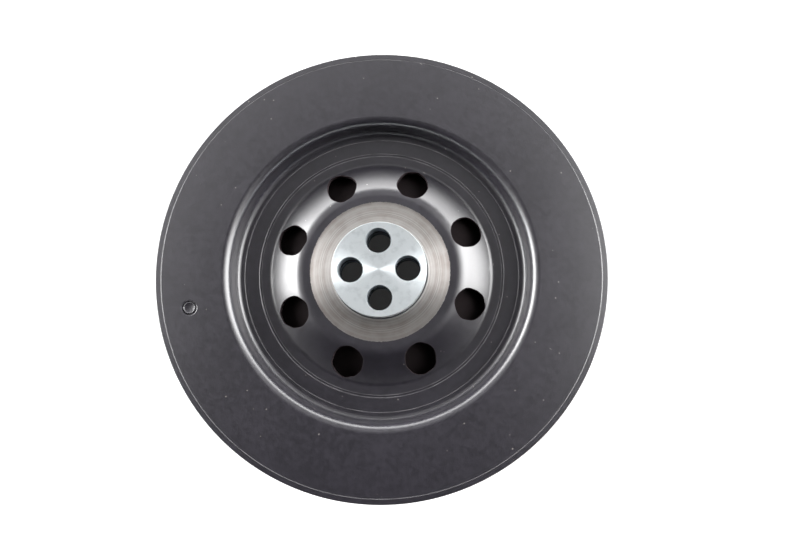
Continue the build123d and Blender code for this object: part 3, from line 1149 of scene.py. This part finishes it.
@dataclass(frozen=True)
class RearPressing:
    """The cup that closes the fluid chamber: a U in section, with a flange under the annulus. Millimetres."""

    finishes: Finishes
    sheet: float = 2.5
    flange: float = 53.5
    flange_level: float = -2.4
    bore: float = 69.6
    floor: float = -15.5
    seam: float = 97.5
    rim: float = 11.58
    rim_fall: float = 0.14
    shoulder_bend: float = 3.0
    floor_bend: float = 2.0
    rim_bevel: float = 0.1
    rim_round: float = 0.3

    def build(self) -> None:
        """Builds the cup: flange end, inner wall, across the floor, up to the rim, and back inside."""
        t = self.sheet
        corners = (
            Corner(self.flange, self.flange_level),
            Corner(self.flange, self.flange_level - t),
            Corner(self.bore - t, self.flange_level - t, self.shoulder_bend - t),
            Corner(self.bore - t, self.floor - t, self.floor_bend + t),
            Corner(self.seam + t, self.floor - t, self.floor_bend + t),
            Corner(self.seam + t, self.rim - self.rim_fall, self.rim_round),
            Corner(self.seam + self.rim_bevel, self.rim),
            Corner(self.seam, self.rim - self.rim_bevel),
            Corner(self.seam, self.floor, self.floor_bend),
            Corner(self.bore, self.floor, self.floor_bend),
            Corner(self.bore, self.flange_level, self.shoulder_bend),
        )
        turned_piece("rear_pressing", corners, self.finishes.coat, Body.HOUSING)


@dataclass(frozen=True)
class FillerPlug:
    """The small dished plug pressed into the cover's filling hole. Millimetres and degrees."""

    finishes: Finishes
    place: float = 85.7
    place_angle: float = 191.2
    radius: float = 2.6
    top: float = 11.8
    bottom: float = 8.7
    rim: float = 0.5
    dish: float = 0.5

    def build(self) -> None:
        """Builds the plug: a half-round rim, and inside it a dish that is part of a ball."""
        turn = np.linspace(0, pi, 13)[:, None]
        middle = np.array((self.radius - self.rim / 2, self.top - self.rim / 2))
        outward = np.concatenate((np.cos(turn), np.sin(turn)), axis=1)
        rim = Run(middle + self.rim / 2 * outward, outward)
        inner = self.radius - self.rim
        drop = self.dish - self.rim / 2
        ball = (inner**2 + drop**2) / (2 * drop)
        angles = np.linspace(np.arcsin(inner / ball), 0, 9)[:, None]
        inward = np.concatenate((-np.sin(angles), np.cos(angles)), axis=1)
        dish = Run(np.array((0, self.top - self.dish + ball)) - ball * inward, inward)
        shank = runs_of((Corner(0, self.bottom), Corner(self.radius, self.bottom),
                         Corner(self.radius, float(middle[1]))), closed=False)
        around = np.linspace(0, 2 * pi, 73)
        angle = radians(self.place_angle)
        centre = (self.place * cos(angle), self.place * sin(angle))
        mesh = mesh_of("filler_plug_finished", [revolved(run, around) for run in (rim, dish, *shank)], centre)
        add_piece("filler_plug", mesh, self.finishes.coat, Body.HOUSING)


@dataclass(frozen=True)
class ClampDisc:
    """The thick zinc-plated disc under the bolt heads. Millimetres."""

    finishes: Finishes
    radius: float = 20.75
    thickness: float = 8.5
    base: float = 9.05
    edge_bevel: float = 0.18
    hole_bevel: float = 0.12
    bolt_band: float = 20.2

    def build(self) -> None:
        """Builds the disc with its four holes."""
        top = self.base + self.thickness
        front = runs_of((Corner(self.radius, self.base), Corner(self.radius, top - self.edge_bevel),
                         Corner(self.radius - self.edge_bevel, top), Corner(0, top)), closed=False)
        back = runs_of((Corner(0, self.base), Corner(self.radius, self.base)), closed=False)
        rows = (BoltCircle().row(self.bolt_band, self.hole_bevel),)
        mesh = mesh_of("clamp_disc_finished", perforated(front, back, rows))
        add_piece("clamp_disc", mesh, self.finishes.zinc, Body.HOUSING,
                  self.finishes.bore)


@dataclass(frozen=True)
class CrankHub:
    """The turned hub behind the cover; its bore and face seat on the crankshaft. Millimetres."""

    finishes: Finishes
    top: float = 6.5
    shoulder: float = 33.0
    shoulder_level: float = 3.0
    radius: float = 31.0
    bore: float = 24.0
    end: float = -22.0
    bevel: float = 0.8
    seat_corner: float = 0.6
    bolt_band: float = 20.6

    def build(self) -> None:
        """Builds the hub with its four bolt holes."""
        front = runs_of((Corner(self.shoulder, self.shoulder_level), Corner(self.shoulder, self.top),
                         Corner(0, self.top)), closed=False)
        back = runs_of((
            Corner(0, 0),
            Corner(self.bore - self.seat_corner, 0),
            Corner(self.bore, -self.seat_corner),
            Corner(self.bore, self.end + self.bevel),
            Corner(self.bore + self.bevel, self.end),
            Corner(self.radius - self.bevel, self.end),
            Corner(self.radius, self.end + self.bevel),
            Corner(self.radius, self.shoulder_level),
            Corner(self.shoulder, self.shoulder_level),
        ), closed=False)
        mesh = mesh_of("crank_hub_finished", perforated(front, back, (BoltCircle().row(self.bolt_band),)))
        add_piece("crank_hub", mesh, self.finishes.turned, Body.HOUSING,
                  self.finishes.bore)


@dataclass(frozen=True)
class PulleyDrive:
    """The decoupled belt pulley: carrier drum, rubber, ribbed pulley, its bush, washer and retaining ring.

    Sizes are in mm and angles in degrees; the fit is how far the rings stand clear of the drum.
    """

    finishes: Finishes
    hub_fit: float = 31.03
    carrier_top: float = 3.0
    carrier_sheet: float = 3.0
    carrier_corner: float = 36.5
    carrier_angle: float = 34.0
    drum: float = 54.0
    flat_bend: float = 7.0
    drum_bend: float = 6.0
    rim_front: float = -20.0
    rim_half: float = 12.505
    rib_tip: float = 80.0
    rib_pitch: float = 3.56
    rib_count: int = 6
    groove_depth: float = 2.9
    groove_floor: float = 0.7
    groove_angle: float = 40.0
    tip_round: float = 0.3
    rim_thickness: float = 4.0
    lip_height: float = 1.2
    lip_width: float = 1.1
    lip_round: float = 0.2
    web: float = 4.0
    web_fillet: float = 1.5
    pulley_arc_step: float = 14.0
    ring_bore: float = 62.32
    ring_outer: float = 66.02
    guide_bore: float = 56.08
    fit: float = 0.02
    bush_wall: float = 2.0
    rubber_wall: float = 8.0
    rubber_hollow: float = 1.2
    washer_bore: float = 54.1
    washer_outer: float = 60.0
    retainer_outer: float = 58.5
    retainer_bevel: float = 0.4

    def build_carrier(self, drum_end: float) -> None:
        """Builds the drawn drum that the pulley sits on.

        Args:
            drum_end: Level of its open end.
        """
        rise = (self.drum - self.carrier_corner) * tan(radians(self.carrier_angle))
        front = runs_of((
            Corner(self.drum, drum_end),
            Corner(self.drum, self.carrier_top - rise, self.drum_bend),
            Corner(self.carrier_corner, self.carrier_top, self.flat_bend),
            Corner(self.hub_fit, self.carrier_top),
        ), closed=False)[0]
        back = front.back(self.carrier_sheet)
        ends = [
            Run(np.array((stretch.points[-1], other.points[0])), np.array((lean, lean)))
            for stretch, other, lean in ((front, back, (-1.0, 0.0)), (back, front, (0.0, -1.0)))
        ]
        mesh = mesh_of("pulley_carrier_finished", [revolved(run) for run in (front, back, *ends)])
        add_piece("pulley_carrier", mesh, self.finishes.phosphate, Body.HOUSING)

    def grooved_rim(self, middle: float) -> list[Corner]:
        """Works out the rim's outside: a lip, the ribs' grooves in a row, and the other lip.

        Args:
            middle: Level of the rim's middle.

        Returns:
            The corners, from its rear to its front.
        """
        half = self.groove_floor / 2 + self.groove_depth * tan(radians(self.groove_angle / 2))
        root = self.rib_tip - self.groove_depth
        lip = self.rib_tip + self.lip_height
        rear, front = middle - self.rim_half, middle + self.rim_half
        corners = [
            Corner(lip, rear, self.lip_round),
            Corner(lip, rear + self.lip_width, self.lip_round),
            Corner(self.rib_tip, rear + self.lip_width),
        ]
        for groove in range(self.rib_count):
            level = middle + (groove - (self.rib_count - 1) / 2) * self.rib_pitch
            corners += [
                Corner(self.rib_tip, level - half, self.tip_round),
                Corner(root, level - self.groove_floor / 2, self.tip_round),
                Corner(root, level + self.groove_floor / 2, self.tip_round),
                Corner(self.rib_tip, level + half, self.tip_round),
            ]
        return corners + [
            Corner(self.rib_tip, front - self.lip_width),
            Corner(lip, front - self.lip_width, self.lip_round),
            Corner(lip, front, self.lip_round),
        ]

    def build_pulley(self, flange_base: float, flange_top: float) -> None:
        """Builds the ribbed pulley: guide flange and ring inside, web, grooved rim.

        Args:
            flange_base: Lower level of the guide flange.
            flange_top: Its upper level.
        """
        middle = self.rim_front - self.rim_half
        bore = self.rib_tip - self.groove_depth - self.rim_thickness
        corners = [
            Corner(self.guide_bore, flange_base),
            Corner(self.ring_outer, flange_base),
            Corner(self.ring_outer, middle - self.web / 2, self.web_fillet),
            Corner(bore, middle - self.web / 2, self.web_fillet),
            Corner(bore, middle - self.rim_half),
            *self.grooved_rim(middle),
            Corner(bore, self.rim_front),
            Corner(bore, middle + self.web / 2, self.web_fillet),
            Corner(self.ring_outer, middle + self.web / 2, self.web_fillet),
            Corner(self.ring_outer, self.rim_front),
            Corner(self.ring_bore, self.rim_front),
            Corner(self.ring_bore, flange_top),
            Corner(self.guide_bore, flange_top),
        ]
        turned_piece("belt_pulley", corners, self.finishes.coat, Body.PULLEY,
                     self.pulley_arc_step)

    def build_rubber(self) -> None:
        """Builds the rubber ring, its two ends drawn in to a shallow hollow that is an arc in section."""
        inner, outer = self.drum + self.fit, self.drum + self.fit + self.rubber_wall
        low, high = levels_of("decoupling_rubber")
        half = self.rubber_wall / 2
        ball = (half**2 + self.rubber_hollow**2) / (2 * self.rubber_hollow)
        angles = np.linspace(-1, 1, 15)[:, None] * np.arcsin(half / ball)
        lean = np.concatenate((-np.sin(angles), np.cos(angles)), axis=1)
        centre = np.array((inner + half, high - self.rubber_hollow + ball))
        top = Run((centre - ball * lean)[::-1], lean[::-1])
        mirrored = np.array((1, -1))
        bottom = Run((top.points * mirrored + (0, low + high))[::-1], (top.normals * mirrored)[::-1])
        sides = runs_of((Corner(outer, low), Corner(outer, high)), closed=False)
        sides += runs_of((Corner(inner, high), Corner(inner, low)), closed=False)
        mesh = mesh_of("decoupling_rubber_finished", [revolved(run) for run in (top, bottom, *sides)])
        add_piece("decoupling_rubber", mesh, self.finishes.rubber, Body.HOUSING)

    def build(self) -> None:
        """Builds the drive, piece by piece; each ring reaches from its node's lowest to its highest level."""
        self.build_carrier(levels_of("pulley_carrier")[0])
        self.build_pulley(*levels_of("guide_bush"))
        self.build_rubber()
        plastic, steel = self.finishes.plastic, self.finishes.spring
        close = self.drum + self.fit
        for name, bore, outer, bevel, material, slot in (
            ("guide_bush", close, close + self.bush_wall, 0.0, plastic, Slot.PLASTIC),
            ("thrust_washer", self.washer_bore, self.washer_outer, 0.0, plastic, Slot.PLASTIC),
            ("retaining_ring", close, self.retainer_outer, self.retainer_bevel, steel, Slot.SPRING_STEEL),
        ):
            low, high = levels_of(name)
            corners = (Corner(bore, low), Corner(outer, low, bevel), Corner(outer, high), Corner(bore, high))
            turned_piece(name, corners, material, Body.HOUSING)


@dataclass(frozen=True)
class InertiaParts:
    """The ring and bearings sealed in the fluid chamber, which keep their own CAD shape."""

    finishes: Finishes

    def dress(self) -> None:
        """Gives each of the sealed nodes its material."""
        for name, material in (
            ("inertia_ring", self.finishes.iron),
            ("radial_bearing", self.finishes.plastic),
            ("front_thrust_ring", self.finishes.plastic),
            ("rear_thrust_ring", self.finishes.plastic),
        ):
            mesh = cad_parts[name].data
            mesh.materials.clear()
            mesh.materials.append(material)
            log.info("%s: CAD shape, finish %s", name, material.name)


# ---- studio --------------------------------------------------------------------------------


@dataclass(frozen=True)
class SoftBox:
    """A large soft light: its brightness, where it starts and half its fade, in degrees from straight up."""

    light: float
    start: float
    fade: float


@dataclass(frozen=True)
class Studio:
    """A pale floor, two large soft boxes at the sides, a weaker one beyond, and the camera above.

    The box ends are how far round a side box reaches from +X or -X towards +Y, in degrees. The overhead light
    lies between two cones about straight up, each given by its angle and half of its fade, in degrees.
    """

    right: SoftBox = SoftBox(9.2, 38.5, 24.0)
    left: SoftBox = SoftBox(15.2, 57.0, 16.0)
    far: SoftBox = SoftBox(9.0, 71.0, 14.0)
    box_ends: tuple[float, float] = (-9.0, 36.0)
    end_fade: float = 3.0
    overhead: float = 0.7
    overhead_starts: tuple[float, float] = (24.0, 11.0)
    overhead_ends: tuple[float, float] = (42.0, 9.0)
    camera_place: tuple[float, float, float] = (17.32, -34.47, 305.2)
    camera_tilt: float = 7.04
    camera_roll: float = 1.62
    focal_pixels: float = 671.0
    image_width: int = 800
    sensor: float = 36.0
    floor_size: float = 6.0
    floor_grey: float = 0.7
    floor_glow: float = 0.78
    painted_shadow_radius: float = 70.0        # painted shadow: the floor within this many mm of the axis hardly glows
    # painted light: the faint glow within the painted shadow, which the holes show
    painted_shadow_glow: float = 0.02

    def build_world(self) -> None:
        """Makes the light: brightness by direction, and plain white where the camera sees past the floor."""
        world = bpy.data.worlds.new("soft_boxes")
        bpy.context.scene.world = world
        world.use_nodes = True
        tree = world.node_tree
        tree.nodes.clear()

        def past(angle: Link, edge: float, fade: float, off: bool = False) -> bpy.types.Node:
            """A soft step from 0 to 1 as an angle passes an edge in degrees, or from 1 to 0 if off."""
            low, high = radians(edge - fade), radians(edge + fade)
            return add(tree, "MapRange", ramp(angle, low, high, float(off), float(not off)), **SMOOTH)

        def product(*shares: Link) -> Link:
            """Multiplies several values.

            Args:
                shares: The values.

            Returns:
                Their product.
            """
            result = shares[0]
            for share in shares[1:]:
                result = add(tree, "Math", {0: result, 1: share}, operation="MULTIPLY")
            return result

        direction = add(tree, "TexCoord", {}).outputs["Generated"]
        x, y, z = add(tree, "SeparateXYZ", {0: direction}).outputs
        beside = add(tree, "Math", {0: x}, operation="ABSOLUTE")
        from_top = add(tree, "Math", {0: z}, operation="ARCCOSINE")
        to_side = add(tree, "Math", {0: beside, 1: z}, operation="ARCTAN2")
        to_far = add(tree, "Math", {0: y, 1: beside}, operation="ARCTAN2")
        on_right = add(tree, "Math", {0: x, 1: 0.0}, operation="GREATER_THAN")
        on_left = add(tree, "Math", {0: 1.0, 1: on_right}, operation="SUBTRACT")
        near_end, far_end = self.box_ends
        begins = past(to_far, near_end, self.end_fade)
        ends = past(to_far, far_end, self.end_fade)
        along = product(begins, past(to_far, far_end, self.end_fade, off=True))
        high = product(past(from_top, *self.overhead_starts), past(from_top, *self.overhead_ends, off=True))
        light: Link = 0.0
        for share in (
            product(along, on_right, past(to_side, self.right.start, self.right.fade), self.right.light),
            product(along, on_left, past(to_side, self.left.start, self.left.fade), self.left.light),
            product(ends, past(from_top, self.far.start, self.far.fade), self.far.light),
            product(begins, high, self.overhead),
        ):
            light = add(tree, "Math", {0: light, 1: share}, operation="ADD")
        seen = add(tree, "LightPath", {}).outputs["Is Camera Ray"]
        light = add(tree, "Background", {"Strength": light})
        white = add(tree, "Background", {"Color": "#ffffff", "Strength": 1.0})
        add(tree, "OutputWorld", {0: add(tree, "MixShader", {0: seen, 1: light, 2: white})})

    def floor_material(self) -> bpy.types.Material:
        """Makes the floor's material: matt, with a glow that only the camera, gloss and glass see, faded
        round the axis to a painted shadow whose faint glow is painted light seen in the holes.

        Returns:
            The material.
        """
        sheet = Sheet("pale_floor")
        tree = sheet.tree
        grey = (self.floor_grey, self.floor_grey, self.floor_grey, 1.0)
        matt = add(tree, "BsdfDiffuse", {"Color": grey})
        away = add(tree, "VectorMath", {0: sheet.place}, operation="LENGTH")
        # Painted shadow: the glow fades out under the object, down to a faint painted light.
        glow = ramp(away, self.painted_shadow_radius, 1.3 * self.painted_shadow_radius, self.painted_shadow_glow, self.floor_glow)
        glow = add(tree, "Emission", {"Strength": add(tree, "MapRange", glow, **SMOOTH)})
        lit = add(tree, "AddShader", {0: matt, 1: glow})
        path = add(tree, "LightPath", {}).outputs
        seen: Link = path["Is Camera Ray"]
        for ray in ("Is Glossy Ray", "Is Transmission Ray"):
            seen = add(tree, "Math", {0: seen, 1: path[ray]}, operation="MAXIMUM")
        return sheet.finish(add(tree, "MixShader", {0: seen, 1: matt, 2: lit}))

    def build_floor(self) -> None:
        """Makes the floor under the lowest point, where the object's shadow shows, and a painted shadow round
        the axis.
        """
        half, level = self.floor_size / 2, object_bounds()[0][2]
        corners = [(-half, -half, level), (half, -half, level), (half, half, level), (-half, half, level)]
        mesh = bpy.data.meshes.new("floor")
        mesh.from_pydata(corners, [], [(0, 1, 2, 3)])
        mesh.materials.append(self.floor_material())
        floor = bpy.data.objects.new("floor", mesh)
        bpy.context.scene.collection.objects.link(floor)
        floor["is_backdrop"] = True

    def build_camera(self) -> None:
        """Makes the camera, turned about X by its tilt and then about Y by its roll, with a plain lens."""
        data = bpy.data.cameras.new("camera")
        data.sensor_width = self.sensor
        data.lens = self.sensor * self.focal_pixels / self.image_width
        camera = bpy.data.objects.new("camera", data)
        bpy.context.scene.collection.objects.link(camera)
        tilt = Matrix.Rotation(radians(self.camera_tilt), 4, "X")
        roll = Matrix.Rotation(radians(self.camera_roll), 4, "Y")
        camera.matrix_world = Matrix.Translation(Vector(self.camera_place) * MM) @ tilt @ roll
        bpy.context.scene.camera = camera

    def build(self) -> None:
        """Builds the studio."""
        bpy.context.scene.view_settings.view_transform = "Standard"
        self.build_world()
        self.build_floor()
        self.build_camera()


def main() -> None:
    """Builds the object's looks and the studio."""
    logging.basicConfig(level=logging.INFO, format="%(message)s")
    Studio().build()
    finishes = Finishes.made()
    FrontPressing(finishes).build()
    RearPressing(finishes).build()
    FillerPlug(finishes).build()
    ClampDisc(finishes).build()
    CrankHub(finishes).build()
    PulleyDrive(finishes).build()
    InertiaParts(finishes).dress()


if __name__ == "__main__":
    main()
